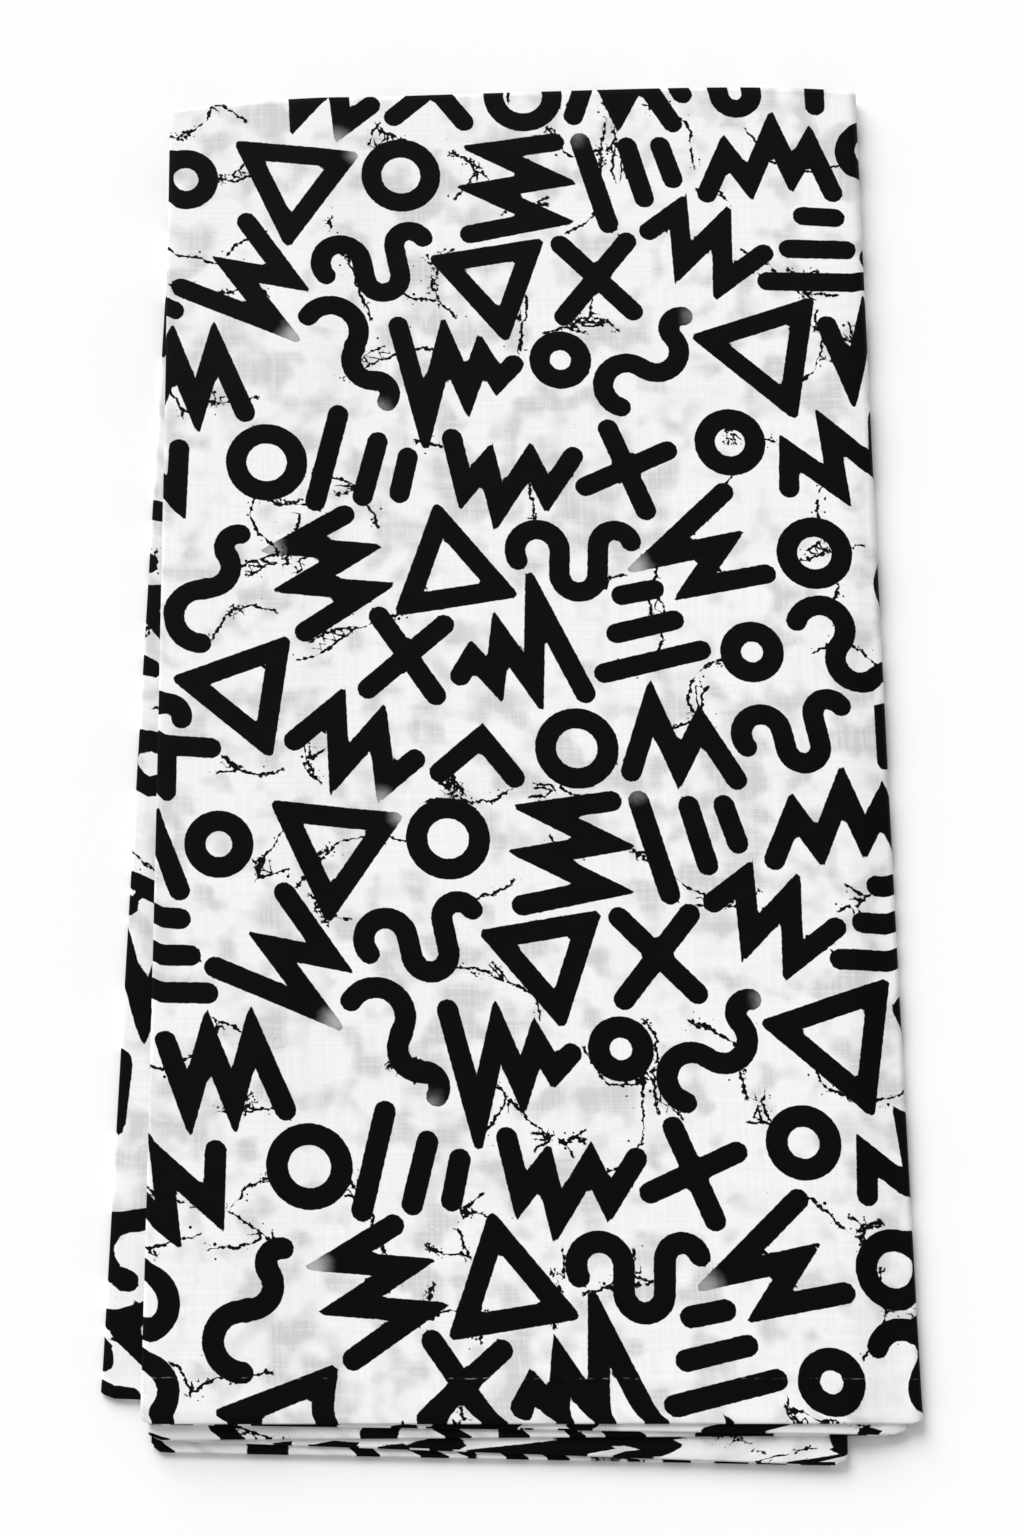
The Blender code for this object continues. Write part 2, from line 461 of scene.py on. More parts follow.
def fold_depths(index, length_share, y):
    """The heights of the runs before and after a fold, at its centre, and its radius."""
    turn = TURNS[index]
    radius = abs(RUNS[index].layer - RUNS[index - 1].layer) * PITCH / 2
    for _ in range(RADIUS_ROUNDS):
        x = turn_centre(turn, radius, length_share)
        before = height(RUNS[index - 1].layer, x, y, length_share)
        after = height(RUNS[index].layer, x, y, length_share)
        radius = abs(after - before) / 2
    return before, after, radius


def rounded_corner(turn, x, from_near, length_share):
    """How far the corner where a fold meets its near edge is drawn in."""
    inwards = np.abs(turn_x(turn, length_share) - x) / CORNER_REACH
    along = from_near / CORNER_REACH
    return CORNER_ROUND * np.clip(1 - inwards, 0, 1) ** 2 * np.exp(-along)


def run_end(index, length_share):
    """Where a run meets the turn with this number."""
    turn = TURNS[index]
    if not turn.side:
        return turn_x(turn, length_share)
    y = mix(turn.y_near, turn.y_far, length_share)
    radius = fold_depths(index, length_share, y)[2]
    return turn_centre(turn, radius, length_share)


def run_lines(index, length_share):
    """The lines of the mesh that run along the cloth's width, over one run."""
    run = RUNS[index]
    first, last = TURNS[index], TURNS[index + 1]
    start, end = run_end(index, length_share), run_end(index + 1, length_share)
    steps = TUCK_STEPS if index == 0 else RUN_STEPS
    for step in range(steps + 1):
        share = step / steps
        x = mix(start, end, share)
        arch = run.far_arch * (1 - abs(2 * share - 1) ** 4)
        y_near = mix(first.y_near, last.y_near, share)
        y_far = mix(first.y_far, last.y_far, share) + arch
        y = mix(y_near, y_far, length_share)
        for turn in (first, last):
            y = y + rounded_corner(turn, x, y - y_near, length_share)
        yield np.stack([x, y, height(run.layer, x, y, length_share)], axis=1)


def fold_lines(index, length_share):
    """The same lines round the half circle in which the cloth turns back."""
    turn = TURNS[index]
    y = mix(turn.y_near, turn.y_far, length_share)
    before, after, radius = fold_depths(index, length_share, y)
    x = turn_centre(turn, radius, length_share)
    steps = WRAP_STEPS if turn is OUTER_WRAP else FOLD_STEPS
    for step in range(1, steps):
        angle = math.pi * step / steps
        z = mix(before, after, (1 - math.cos(angle)) / 2)
        edge_x = x + turn.side * radius * math.sin(angle)
        edge_y = y + rounded_corner(turn, edge_x, y - turn.y_near, length_share)
        yield np.stack([edge_x, edge_y, z], axis=1)


def middle_surface(length_share):
    """The middle of the doubled cloth, line by line along its path."""
    lines = []
    for index in range(len(RUNS)):
        if index:
            lines.extend(fold_lines(index, length_share))
        lines.extend(run_lines(index, length_share))
    return np.array(lines)


Row = namedtuple("Row", "share side")
Span = namedtuple("Span", "zone start steps")


def spread(start, end, steps):
    return list(np.linspace(start, end, steps + 1))


def cloth_rows():
    """Rows across the cloth's width, from one selvedge over the near bend to the other.

    share is how far a row lies along the packet, and side on which face of the doubled cloth, from
    -1 to 1. Each selvedge ends in a narrow lip, which gives the cloth its thickness there.
    """
    coarse = spread(1, NEAR_BAND_SHARE, FINE_STEPS // HIDDEN_MERGE)
    band = spread(NEAR_BAND_SHARE, 0, NEAR_BAND_STEPS)
    bend = [math.sin(angle) for angle in spread(-math.pi / 2, math.pi / 2, NEAR_BEND_STEPS)]
    fine = spread(NEAR_BAND_SHARE, 1, FINE_STEPS)
    rows = [Row(1, -LIP_SIDE)]
    rows += [Row(share, -1) for share in coarse[:-1] + band]
    rows += [Row(0, side) for side in bend[1:-1]]
    rows += [Row(share, 1) for share in band[::-1] + fine[1:]]
    rows += [Row(1, LIP_SIDE)]
    return rows


def row_spans():
    """The zones across the cloth's width, in the order of cloth_rows."""
    steps = (
        ("under", 1 + FINE_STEPS // HIDDEN_MERGE),
        ("near under", NEAR_BAND_STEPS),
        ("near bend", NEAR_BEND_STEPS),
        ("near upper", NEAR_BAND_STEPS),
        ("upper", FINE_STEPS),
        ("lip", 1),
    )
    return list(spans(steps))


def column_spans():
    """The zones along the cloth's path."""
    steps = [("end", 1)]
    for index in range(len(RUNS)):
        if index:
            steps.append((f"fold {index}", WRAP_STEPS if index == TOP_RUN else FOLD_STEPS))
        steps.append((f"run {index}", RUN_STEPS if index else TUCK_STEPS))
    steps.append(("end", 1))
    return list(spans(steps))


def spans(steps):
    start = 0
    for zone, count in steps:
        yield Span(zone, start, count)
        start += count


def merged(column_zone, row_zone):
    """How many columns and rows of the grid become one face."""
    is_run = column_zone.startswith("run")
    if row_zone in ("near bend", "near upper"):
        return (1 if column_zone in FINE_COLUMNS or not is_run else COVER_MERGE), 1
    if row_zone == "upper" and column_zone in FINE_COLUMNS:
        return 1, 1
    if row_zone == "upper" and column_zone in COVER_COLUMNS:
        return COVER_MERGE, COVER_MERGE
    return (HIDDEN_MERGE if is_run else 1), (HIDDEN_MERGE if row_zone == "upper" else 1)


def face_blocks():
    """The mesh's faces, each as its first and last column and row of the grid."""
    for column_span in column_spans():
        for row_span in row_spans():
            columns, rows = merged(column_span.zone, row_span.zone)
            for column in range(column_span.start, column_span.start + column_span.steps, columns):
                for row in range(row_span.start, row_span.start + row_span.steps, rows):
                    yield column, column + columns, row, row + rows


def used_corners(blocks, shape):
    """Which points of the grid are the corner of a face."""
    used = np.zeros(shape, dtype=bool)
    for left, right, low, high in blocks:
        for column in (left, right):
            used[column, low] = used[column, high] = True
    return used


def outline(block, used):
    """A face's corners, with those of its finer neighbours that lie on its edges."""
    left, right, low, high = block
    if right - left == 1 and high - low == 1:
        return [(left, low), (left, high), (right, high), (right, low)]
    corners = [(left, row) for row in range(low, high) if used[left, row]]
    corners += [(column, high) for column in range(left, right) if used[column, high]]
    corners += [(right, row) for row in range(high, low, -1) if used[right, row]]
    corners += [(column, low) for column in range(right, left, -1) if used[column, low]]
    return corners


def unit(vectors):
    return vectors / np.linalg.norm(vectors, axis=-1, keepdims=True)


def skin_points(rows):
    """Where the cloth's outer face lies, and its flat coordinates, for each column and row."""
    share = np.array([row.share for row in rows])
    side = np.array([row.side for row in rows])
    lines = middle_surface(share)
    along_path = np.gradient(lines, axis=0)
    stretch = np.linalg.norm(np.diff(lines, axis=0), axis=2)
    path = np.concatenate([np.zeros((1, len(rows))), np.cumsum(stretch, axis=0)])
    across = np.sign(side) * (lines[..., 1] - lines[:, [share.argmin()], 1])
    normal = unit(np.cross([0.0, 1.0, 0.0], unit(along_path)))
    offset = normal * side[:, None]
    offset[..., 1] -= np.sqrt(1 - side**2) * (share == 0)
    puff = 1 + NEAR_PUFF * np.exp(-((across / NEAR_PUFF_REACH) ** 2))
    offset *= PLY_OFFSET * puff[..., None]
    points = lines + offset
    first = lines[:1] + offset[:1] * LIP_SIDE
    last = lines[-1:] + offset[-1:] * LIP_SIDE
    flat = np.stack([path, across], axis=2)
    return np.concatenate([first, points, last]), np.concatenate([flat[:1], flat, flat[-1:]])


def arc_points(arc):
    steps = round(abs(arc.last - arc.first) / ARC_STEP)
    angles = np.radians(np.linspace(arc.first, arc.last, steps + 1))
    return [(arc.x + arc.radius * math.cos(a), arc.y + arc.radius * math.sin(a)) for a in angles]


def mark_lines(mark):
    """The lines of a mark's strokes, about its middle, each with how far its corners point."""
    if mark.kind in STRAIGHT:
        tip = BLUNT_TIP if mark.kind == "triangle" else SHARP_TIP
        lines = STRAIGHT[mark.kind]
    else:
        tip = ROUND_TIP
        lines = [[point for arc in CURLED[mark.kind] for point in arc_points(arc)]]
    return [(np.array(line, dtype=float) * MM * mark.size, tip) for line in lines]


def segment_distance(points, start, end):
    along = end - start
    share = np.clip((points - start) @ along / max(along @ along, TINY), 0, 1)
    return np.linalg.norm(points - start - share[:, None] * along, axis=1)


def tip_distance(points, before, corner, after, tip):
    """The pointed outside of a corner: where the bands of its two strokes cross, cut off at tip."""
    offset = points - corner
    bands = []
    for other in (before, after):
        way = unit(corner - other)
        bands.append(np.abs(offset[:, 0] * way[1] - offset[:, 1] * way[0]))
    reach = np.linalg.norm(offset, axis=1) - (tip - 1) * STROKE / 2
    return np.maximum(np.maximum(bands[0], bands[1]), reach)


def line_turns(corners):
    """Each corner at which a line turns, between the ones before and after it."""
    turns = list(zip(corners[:-2], corners[1:-1], corners[2:]))
    if np.allclose(corners[0], corners[-1]):
        turns.append((corners[-2], corners[0], corners[1]))
    return turns


def line_distance(points, corners, tip):
    """How far points lie from a stroke's middle line, less at its pointed corners."""
    distance = np.full(len(points), np.inf)
    for start, end in zip(corners[:-1], corners[1:]):
        distance = np.minimum(distance, segment_distance(points, start, end))
    if tip > ROUND_TIP:
        for before, corner, after in line_turns(corners):
            distance = np.minimum(distance, tip_distance(points, before, corner, after, tip))
    return distance


def turned(points, degrees):
    """The coordinates of points in axes that are turned anticlockwise by degrees."""
    cosine, sine = math.cos(math.radians(degrees)), math.sin(math.radians(degrees))
    x, y = points[:, 0], points[:, 1]
    return np.stack([x * cosine + y * sine, y * cosine - x * sine], axis=1)


def repeated(offset, size):
    """An offset from the nearest copy of something that repeats in a square of this size."""
    return (offset + size / 2) % size - size / 2


def print_place(flat):
    """Where a point of the flat cloth falls on the print, seen from the cloth's outer face."""
    return turned(np.stack([-flat[:, 0], flat[:, 1]], axis=1), PRINT_TURN) + PRINT_SHIFT


def tip_sample(before, corner, after, tip):
    """A point near the end of a pointed corner."""
    ways = unit(before - corner), unit(after - corner)
    half_width = np.linalg.norm(ways[0] - ways[1]) / 2
    reach = min(1 / half_width, tip) - 1
    return corner - unit(ways[0] + ways[1]) * reach * STROKE / 2


def mark_samples(mark):
    """Points along a mark's strokes and in its tips, about the mark's middle."""
    points = []
    for corners, tip in mark_lines(mark):
        for start, end in zip(corners[:-1], corners[1:]):
            steps = max(1, round(np.linalg.norm(end - start) / SAMPLE_STEP))
            points.extend(mix(start, end, step / steps) for step in range(steps + 1))
        if tip > ROUND_TIP:
            points.extend(tip_sample(*turn, tip) for turn in line_turns(corners))
    return turned(np.array(points), -mark.turn)


def settled_marks():
    """The marks after they have pushed each other apart, until each has a clear margin."""
    samples = [mark_samples(mark) for mark in MARKS]
    place = settled_discs(samples)
    place, turn = settled_strokes(samples, place)
    settled = zip(MARKS, place / MM, np.degrees(turn))
    return [mark._replace(x=x, y=y, turn=mark.turn + more) for mark, (x, y), more in settled]


def settled_discs(samples):
    """Where the marks lie once they have pushed each other apart as discs of about their size."""
    room = np.array([np.linalg.norm(points, axis=1).mean() for points in samples]) * ROOM_SHARE
    place = np.array([[mark.x, mark.y] for mark in MARKS]) * MM
    own, other = np.nonzero(~np.eye(len(MARKS), dtype=bool))
    for _ in range(SETTLE_ROUNDS):
        offset = repeated(place[own] - place[other], REPEAT)
        place += mean_push(own, pushes(offset, room[own] + room[other]))
    return place


def settled_strokes(samples, place):
    """Where the marks lie, and how far each has turned, once their strokes have cleared each other."""
    owner = np.repeat(np.arange(len(MARKS)), [len(points) for points in samples])
    arm = np.concatenate(samples)
    turn = np.zeros(len(MARKS))
    points = place[owner] + arm
    apart = np.linalg.norm(repeated(points[:, None] - points, REPEAT), axis=2)
    own, other = np.nonzero((owner[:, None] != owner) & (apart < SETTLE_REACH))
    for _ in range(SETTLE_ROUNDS):
        cosine, sine = np.cos(turn)[owner], np.sin(turn)[owner]
        x, y = arm[:, 0] * cosine - arm[:, 1] * sine, arm[:, 0] * sine + arm[:, 1] * cosine
        points = place[owner] + np.stack([x, y], axis=1)
        push = pushes(repeated(points[own] - points[other], REPEAT), STROKE + MARK_MARGIN)
        twist = (x[own] * push[:, 1] - y[own] * push[:, 0]) / TWIST_ARM**2
        move = mean_push(owner[own], np.column_stack([push, twist]))
        place += move[:, :2]
        turn += move[:, 2]
    return place, turn


def pushes(offset, room):
    """How far two things that lie closer than room are to be pushed apart."""
    distance = np.linalg.norm(offset, axis=1)
    share = np.clip(room - distance, 0, None) / np.maximum(distance, MM)
    return offset * share[:, None]


def mean_push(owner, push):
    """Each mark's move in one round, from the pushes on it."""
    count = np.bincount(owner, push.any(axis=1), len(MARKS))
    total = [np.bincount(owner, part, len(MARKS)) for part in push.T]
    return SETTLE_PACE * np.stack(total, axis=1) / np.maximum(count, 1)[:, None]


def printed_marks(flat):
    """How far points of the flat cloth lie outside the strokes, or below 0 inside, and their fade."""
    place = print_place(flat)
    distance = np.full(len(place), MARK_REACH)
    fade = np.zeros(len(place))
    for number, mark in enumerate(settled_marks()):
        offset = repeated(place - np.array([mark.x, mark.y]) * MM, REPEAT)
        near = np.flatnonzero(np.abs(offset).max(axis=1) < MARK_REACH)
        local = turned(offset[near], mark.turn)
        own = np.full(len(near), MARK_REACH)
        for corners, tip in mark_lines(mark):
            own = np.minimum(own, line_distance(local, corners, tip))
        closer = own < distance[near]
        distance[near[closer]] = own[closer]
        fade[near[closer]] = fade_share(mark, number, local[closer])
    return distance - STROKE / 2, fade


def fade_share(mark, number, local):
    """How far the dye has washed out at one pointed corner or end, on some of the marks."""
    corners, _ = mark_lines(mark)[0]
    if number % FADE_EVERY or mark.kind not in POINTED + OPEN_ENDED:
        return 0.0
    faded = corners[-1] + unit(corners[-1] - corners[-2]) * STROKE / 2
    strength = END_FADE
    if mark.kind in POINTED:
        before, corner, after = corners[number % (len(corners) - 2):][:3]
        faded = corner + unit(2 * corner - before - after) * STROKE
        strength = 1.0
    distance = np.linalg.norm(local - faded, axis=1)
    return strength * np.clip(1 - distance / FADE_REACH, 0, 1)


def grow_vein(chance, start, heading, length):
    """A crooked chain of points that sets out from start."""
    points = [start]
    bend = chance.uniform(-VEIN_BEND, VEIN_BEND)
    for _ in range(max(2, round(length / VEIN_STEP))):
        heading += bend + chance.uniform(-VEIN_CROOK, VEIN_CROOK)
        way = np.array([math.cos(math.radians(heading)), math.sin(math.radians(heading))])
        points.append(points[-1] + way * VEIN_STEP)
    return np.array(points)


def grow_veins():
    """The cracks of the wax: a main vein in each cell of a grid, and its side branches."""
    chance = random.Random(VEIN_SEED)
    for cell in range(VEIN_GRID**2):
        corner = np.array(divmod(cell, VEIN_GRID)) + [chance.random(), chance.random()]
        heading = chance.uniform(0, 360)
        length = chance.uniform(*VEIN_LENGTHS)
        trunk = grow_vein(chance, corner * VEIN_REPEAT / VEIN_GRID, heading, length)
        yield trunk
        for _ in range(chance.randint(0, MOST_BRANCHES)):
            start = trunk[chance.randrange(len(trunk) - 1)]
            aside = heading + chance.choice((-1, 1)) * chance.uniform(*BRANCH_ANGLES)
            yield grow_vein(chance, start, aside, length * chance.uniform(*BRANCH_LENGTHS))


def vein_distances(flat):
    """How far points lie to the side of the nearest vein's line, and from the vein itself."""
    side = np.full(len(flat), VEIN_REACH)
    distance = np.full(len(flat), VEIN_REACH)
    for vein in grow_veins():
        middle = vein.mean(axis=0)
        reach = np.abs(vein - middle).max() + VEIN_REACH
        offset = repeated(flat - middle, VEIN_REPEAT)
        near = np.flatnonzero(np.abs(offset).max(axis=1) < reach)
        for start, end in zip(vein[:-1] - middle, vein[1:] - middle):
            way = (end - start) / VEIN_STEP
            away = offset[near] - start
            new = segment_distance(offset[near], start, end)
            closer = new < distance[near]
            chosen = near[closer]
            distance[chosen] = new[closer]
            side[chosen] = (away[:, 0] * way[1] - away[:, 1] * way[0])[closer]
    return side, distance


def bake_place(flat):
    """Where points of the flat cloth fall in the layout of a baked picture."""
    along = np.interp(flat[:, 0], *zip(*BAKE_PATH))
    across = np.interp(flat[:, 1], *zip(*BAKE_ACROSS))
    return np.stack([along, across], axis=1)


def add_attribute(mesh, name, values):
    kind, field = ("FLOAT", "value") if values.ndim == 1 else ("FLOAT2", "vector")
    attribute = mesh.attributes.new(name, kind, "POINT")
    attribute.data.foreach_set(field, values.astype(np.float32).ravel())


def make_cloth():
    rows = cloth_rows()
    points, flat = skin_points(rows)
    blocks = list(face_blocks())
    used = used_corners(blocks, points.shape[:2])
    number = np.cumsum(used).reshape(used.shape) - 1
    faces = [[int(number[corner]) for corner in outline(block, used)] for block in blocks]
    points, flat = points[used], flat[used]
    pressed = pressed_distance(points[:, 0], points[:, 1])
    points[:, :2] += box_shift(points)

    mesh = bpy.data.meshes.new("printed_cloth")
    mesh.from_pydata(points.tolist(), [], faces)
    mesh.polygons.foreach_set("use_smooth", [True] * len(faces))
    stroke, fade = printed_marks(flat)
    add_attribute(mesh, "print_mm", stroke / MM)
    add_attribute(mesh, "fade", fade)
    side, distance = vein_distances(flat)
    add_attribute(mesh, "vein_side_mm", side / MM)
    add_attribute(mesh, "vein_mm", distance / MM)
    add_attribute(mesh, "flat_mm", flat / MM)
    add_attribute(mesh, "pressed_mm", pressed / MM)
    add_bake_layout(mesh, bake_place(flat))
    mesh.materials.append(printed_cotton())
    return add_object("printed_cloth", mesh)


def add_object(name, data):
    node = bpy.data.objects.new(name, data)
    bpy.context.scene.collection.objects.link(node)
    return node


def box_shift(points):
    """From the middle of the top panel, where the sizes start, to the node's own place."""
    low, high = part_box(NODE)
    node_middle = (np.array(low[:2]) + np.array(high[:2])) / 2
    own_middle = (points[:, :2].min(axis=0) + points[:, :2].max(axis=0)) / 2
    return node_middle - own_middle


def add_bake_layout(mesh, place):
    layer = mesh.uv_layers.new(name="OFBake")
    corners = np.zeros(len(mesh.loops), dtype=np.int32)
    mesh.loops.foreach_get("vertex_index", corners)
    layer.data.foreach_set("uv", place[corners].astype(np.float32).ravel())


class Wiring:
    """Adds nodes to a material and joins them; an input is a socket or a plain number."""

    def __init__(self, material):
        material.use_nodes = True
        self.tree = material.node_tree
        self.shader = self.tree.nodes["Principled BSDF"]

    def node(self, kind, inputs, **settings):
        node = self.tree.nodes.new(f"ShaderNode{kind}")
        for name, value in settings.items():
            setattr(node, name, value)
        for name, value in inputs.items():
            self.feed(node.inputs[name], value)
        return node

    def feed(self, socket, value):
        if isinstance(value, bpy.types.NodeSocket):
            self.tree.links.new(value, socket)
        else:
            socket.default_value = value

    def math(self, operation, *values):
        return self.node("Math", dict(enumerate(values)), operation=operation).outputs[0]

    def ramp(self, value, low, high, to_low=0.0, to_high=1.0):
        """A soft step: to_low below low, to_high above high."""
        inputs = {"Value": value, "From Min": low, "From Max": high}
        inputs |= {"To Min": to_low, "To Max": to_high}
        return self.node("MapRange", inputs, interpolation_type="SMOOTHSTEP").outputs[0]

    def attribute(self, name, output):
        return self.node("Attribute", {}, attribute_name=name).outputs[output]

    def noise(self, place, size, detail=2.0, output="Fac"):
        inputs = {"Vector": place, "Scale": 1 / size, "Detail": detail}
        return self.node("TexNoise", inputs).outputs[output]

    def centred_noise(self, place, size, detail=2.0):
        """Noise about 0, up to about half both ways."""
        return self.math("SUBTRACT", self.noise(place, size, detail), 0.5)

    def voronoi(self, place, size):
        return self.node("TexVoronoi", {"Vector": place, "Scale": 1 / size}, feature="F1")

    def moved(self, place, offset):
        return self.node("VectorMath", {0: place, 1: offset}, operation="ADD").outputs[0]

    def scaled(self, place, factors):
        return self.node("VectorMath", {0: place, 1: factors}, operation="MULTIPLY").outputs[0]

    def shaken(self, place, size, reach):
        """The place moved this way and that by up to about half of reach."""
        centred = self.moved(self.noise(place, size, output="Color"), (-0.5, -0.5, -0.5))
        shake = self.node("VectorMath", {0: centred, "Scale": reach}, operation="SCALE").outputs[0]
        return self.moved(place, shake)

    def mix(self, share, first, second):
        """A colour between two others; a mixing node keeps its colours in sockets 6 and 7."""
        return self.node("Mix", {0: share, 6: first, 7: second}, data_type="RGBA").outputs[2]


def grey(value):
    return (value, value, value, 1.0)


def weave_height(wiring, place):
    """Plain weave: threads that cross over and under each other."""
    parts = wiring.node("SeparateXYZ", {0: wiring.shaken(place, *THREAD_SHAKE)})
    pace = 2 * math.pi / THREAD_PITCH
    warp = wiring.math("SINE", wiring.math("MULTIPLY", parts.outputs[0], pace))
    weft = wiring.math("SINE", wiring.math("MULTIPLY", parts.outputs[1], pace))
    return wiring.math("MULTIPLY_ADD", wiring.math("MULTIPLY", warp, weft), 0.5, 0.5)


def thread_tone(wiring, place):
    """Threads of uneven thickness, as faint streaks along both of their directions."""
    warp = wiring.noise(wiring.scaled(place, (1.0, STREAK_SQUEEZE, 1.0)), STREAK_WIDTH, 1.0)
    weft = wiring.noise(wiring.scaled(place, (STREAK_SQUEEZE, 1.0, 1.0)), STREAK_WIDTH, 1.0)
    return wiring.math("MULTIPLY", wiring.math("ADD", warp, weft), 0.5)


def ink_share(wiring, place):
    """The printed strokes, with the slightly ragged edge that the wax leaves."""
    ragged = wiring.centred_noise(place, EDGE_GRAIN, 3.0)
    edge = wiring.math("MULTIPLY_ADD", ragged, EDGE_RAGGED, wiring.attribute("print_mm", "Fac"))
    return wiring.ramp(edge, -EDGE_SOFT, EDGE_SOFT, 1.0, 0.0)


def vein_share(wiring, place, distance):
    """Fine branching veins, where dye ran into cracks of the wax: crooked, ragged and broken."""
    crooked = wiring.centred_noise(place, VEIN_CLOUD, 1.6)
    side = wiring.math("MULTIPLY_ADD", crooked, VEIN_SWAY, wiring.attribute("vein_side_mm", "Fac"))
    gaps = wiring.noise(wiring.moved(place, GAPS_OFFSET), VEIN_PATCH)
    ragged = wiring.ramp(wiring.noise(place, VEIN_GRAIN, 2.5), *VEIN_RAGGED, *VEIN_WIDTH)
    width = wiring.math("MULTIPLY", ragged, wiring.ramp(gaps, *VEIN_GAPS))
    off_line = wiring.math("SUBTRACT", wiring.math("ABSOLUTE", side), width)
    line = wiring.ramp(off_line, -VEIN_SOFT, VEIN_SOFT, 1.0, 0.0)
    return wiring.math("MULTIPLY", line, wiring.ramp(distance, *VEIN_CUT, 1.0, 0.0))


def speck_share(wiring, place, pitch, rarity, growth):
    """Specks of dye, at most one in each cell of this pitch, larger or smaller by growth."""
    speck = wiring.voronoi(place, pitch)
    chance = wiring.node("SeparateColor", {0: speck.outputs["Color"]}).outputs[0]
    size = wiring.math("MULTIPLY", wiring.ramp(chance, rarity, 1.0, 0.0, LARGEST_SPECK), growth)
    inside = wiring.math("SUBTRACT", size, speck.outputs["Distance"])
    return wiring.ramp(inside, 0.0, SPECK_SOFT)


def spray_share(wiring, place, distance):
    """Fine sprays of specks beside some stretches of the veins."""
    chosen = wiring.noise(wiring.moved(place, SPRAY_OFFSET), SPRAY_PATCH, 1.0)
    near_vein = wiring.ramp(distance, *SPRAY_REACH, *SPRAY_GROWTH)
    growth = wiring.math("MULTIPLY", wiring.ramp(chosen, *SPRAY_CHOSEN), near_vein)
    return speck_share(wiring, place, SPRAY_PITCH, SPRAY_RARITY, growth)


def scratch_share(wiring, place, distance):
    """Blots of fine scratches on some of the veins."""
    chosen = wiring.noise(wiring.moved(place, SCRATCH_OFFSET), SCRATCH_PATCH, 1.0)
    near_vein = wiring.ramp(distance, *SCRATCH_REACH, 1.0, 0.0)
    scratched = wiring.math("MULTIPLY", wiring.ramp(chosen, *SCRATCH_CHOSEN), near_vein)
    fine = wiring.noise(place, SCRATCH_GRAIN, 4.0)
    scratches = wiring.math("MULTIPLY_ADD", scratched, SCRATCH_GAIN, fine)
    return wiring.ramp(scratches, *SCRATCH_STEP)


def crackle_share(wiring, place):
    """All the marks that the cracked wax has left."""
    distance = wiring.attribute("vein_mm", "Fac")
    growth = wiring.ramp(distance, *SPECK_REACH, *SPECK_GROWTH)
    shares = (
        speck_share(wiring, place, SPECK_PITCH, SPECK_RARITY, growth),
        spray_share(wiring, place, distance),
        scratch_share(wiring, place, distance),
    )
    share = vein_share(wiring, place, distance)
    for other in shares:
        share = wiring.math("MAXIMUM", share, other)
    return share


def ground_colour(wiring, place, weave):
    """Bleached cotton, with pale grey dapples where dye crept under the wax."""
    small = wiring.noise(wiring.shaken(place, *DAPPLE_SHAKE), DAPPLE_CLOUD, 1.5)
    wide = wiring.noise(wiring.moved(place, WIDE_OFFSET), WIDE_CLOUD, 1.0)
    wide = wiring.math("MULTIPLY_ADD", wide, WIDE_WEIGHT, -WIDE_WEIGHT / 2)
    both = wiring.math("ADD", small, wide)
    threads = thread_tone(wiring, place)
    tinted = wiring.ramp(threads, *STREAK_TINT[0], *STREAK_TINT[1])
    dots = wiring.math("MULTIPLY", wiring.ramp(weave, *WEAVE_TINT[0], *WEAVE_TINT[1]), tinted)
    share = wiring.math("MULTIPLY", wiring.ramp(both, *DAPPLE_STEP), dots)
    dark_thread = grey(GROUND * DARK_THREAD)
    cotton = wiring.mix(wiring.ramp(threads, *THREAD_STEP), dark_thread, grey(GROUND))
    return wiring.mix(share, cotton, grey(DAPPLE))


def ink_colour(wiring, place):
    """Slightly cloudy black dye."""
    darkest, palest = (grey(INK * factor) for factor in INK_FACTORS)
    return wiring.mix(wiring.noise(place, INK_CLOUD), darkest, palest)


def faded_share(wiring, place):
    """How far the dye has washed out, unevenly, at the tips and ends of some marks."""
    wobble = wiring.centred_noise(place, FADE_GRAIN)
    fade = wiring.math("MULTIPLY_ADD", wobble, FADE_SWAY, wiring.attribute("fade", "Fac"))
    return wiring.ramp(fade, *FADE_STEP, 0.0, MOST_FADED)


def pressed_share(wiring, place):
    """The pale broken line where the print has rubbed off along the pressed crease."""
    wobble = wiring.centred_noise(place, RUB_CLOUD)
    line = wiring.math("MULTIPLY_ADD", wobble, RUB_SWAY, wiring.attribute("pressed_mm", "Fac"))
    on_line = wiring.ramp(wiring.math("ABSOLUTE", line), *RUB_WIDTH, 1.0, 0.0)
    broken = wiring.noise(place, RUB_GRAIN, 4.0)
    return wiring.math("MULTIPLY", on_line, wiring.ramp(broken, *RUB_GAPS, 0.0, MOST_RUBBED))


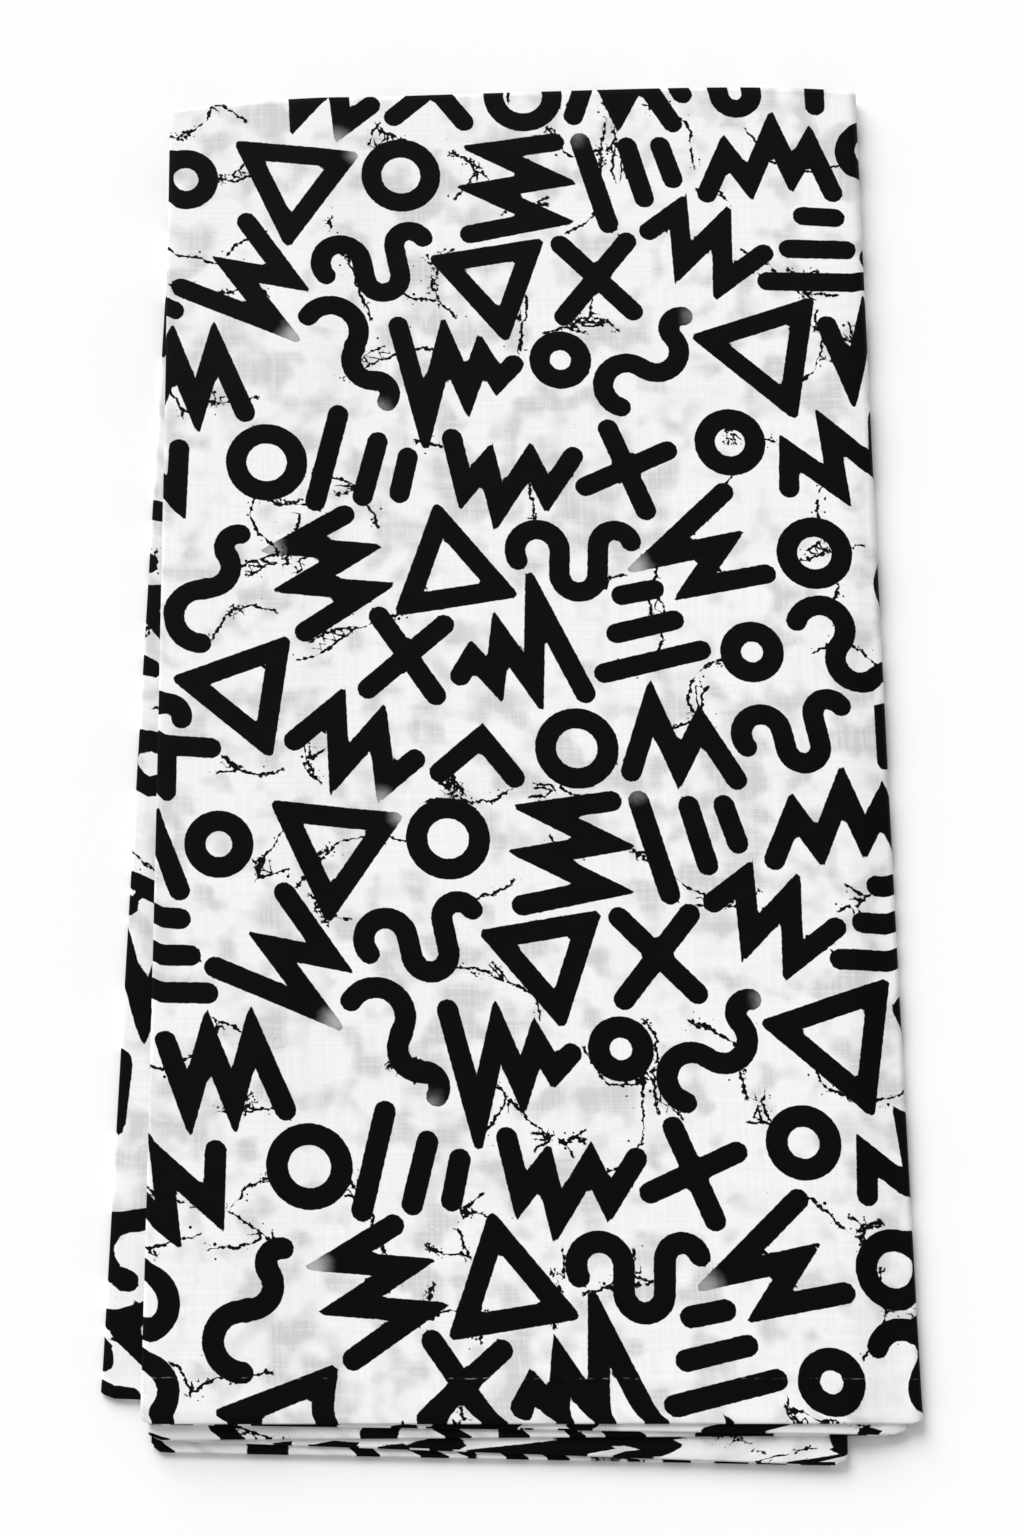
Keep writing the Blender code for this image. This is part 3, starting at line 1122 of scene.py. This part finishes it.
def printed_cotton():
    material = bpy.data.materials.new("printed cotton")
    wiring = Wiring(material)
    place = wiring.attribute("flat_mm", "Vector")
    weave = weave_height(wiring, place)
    worn = wiring.math("MAXIMUM", pressed_share(wiring, place), faded_share(wiring, place))
    printed = wiring.math("MULTIPLY", ink_share(wiring, place), wiring.math("SUBTRACT", 1.0, worn))
    ink = wiring.math("MAXIMUM", printed, crackle_share(wiring, place))
    colour = wiring.mix(ink, ground_colour(wiring, place, weave), ink_colour(wiring, place))
    wiring.feed(wiring.shader.inputs["Base Color"], colour)
    roughness = wiring.ramp(ink, 0.0, 1.0, BARE_ROUGHNESS, INKED_ROUGHNESS)
    wiring.feed(wiring.shader.inputs["Roughness"], roughness)
    wiring.shader.inputs["Specular IOR Level"].default_value = CLOTH_SPECULAR
    wiring.shader.inputs["Sheen Weight"].default_value = SHEEN
    wiring.shader.inputs["Sheen Roughness"].default_value = SHEEN_ROUGHNESS
    relief_inputs = {"Height": weave, "Strength": WEAVE_STRENGTH, "Distance": WEAVE_DEPTH}
    wiring.feed(wiring.shader.inputs["Normal"], wiring.node("Bump", relief_inputs).outputs[0])
    return material


def floor_material():
    material = bpy.data.materials.new("plain floor")
    wiring = Wiring(material)
    place = wiring.node("TexCoord", {}).outputs["Object"]
    tone = wiring.noise(place, FLOOR_CLOUD)
    colour = wiring.mix(tone, grey(FLOOR * FLOOR_SHADE), grey(FLOOR))
    wiring.feed(wiring.shader.inputs["Base Color"], colour)
    wiring.feed(wiring.shader.inputs["Roughness"], wiring.ramp(tone, 0.0, 1.0, *FLOOR_ROUGHNESS))
    wiring.shader.inputs["Specular IOR Level"].default_value = FLOOR_SPECULAR
    return material


def make_floor():
    mesh = bpy.data.meshes.new("floor")
    floor = bmesh.new()
    bmesh.ops.create_grid(floor, x_segments=FLOOR_STEPS, y_segments=FLOOR_STEPS, size=FLOOR_SIZE / 2)
    floor.to_mesh(mesh)
    floor.free()
    mesh.materials.append(floor_material())
    return add_object("floor", mesh)


def light_scene():
    """An even white surround, and one broad soft light."""
    world = bpy.data.worlds.new("studio")
    world.use_nodes = True
    background = world.node_tree.nodes["Background"]
    background.inputs["Color"].default_value = grey(1.0)
    background.inputs["Strength"].default_value = WORLD_LIGHT
    bpy.context.scene.world = world
    bpy.context.scene.view_settings.view_transform = "Standard"
    light = bpy.data.lights.new("key", "SUN")
    light.energy = KEY_LIGHT
    light.angle = math.radians(KEY_SPREAD)
    key = add_object("key", light)
    key.rotation_euler = Vector(KEY_FROM).to_track_quat("Z", "Y").to_euler()


def place_camera():
    data = bpy.data.cameras.new("camera")
    data.lens = LENS
    data.sensor_width = SENSOR
    camera = add_object("camera", data)
    tilt = math.radians(ELEVATION)
    back = Vector((0.0, -math.cos(tilt), math.sin(tilt)))
    upright = Matrix.Rotation(math.radians(90 - ELEVATION), 4, "X")
    rolled = upright @ Matrix.Rotation(math.radians(ROLL), 4, "Z")
    camera.matrix_world = Matrix.Translation(Vector(AIM) + back * DISTANCE) @ rolled
    bpy.context.scene.camera = camera


place_camera()
light_scene()
floor = make_floor()
cloth = make_cloth()
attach(cloth, "root")
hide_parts(NODE)
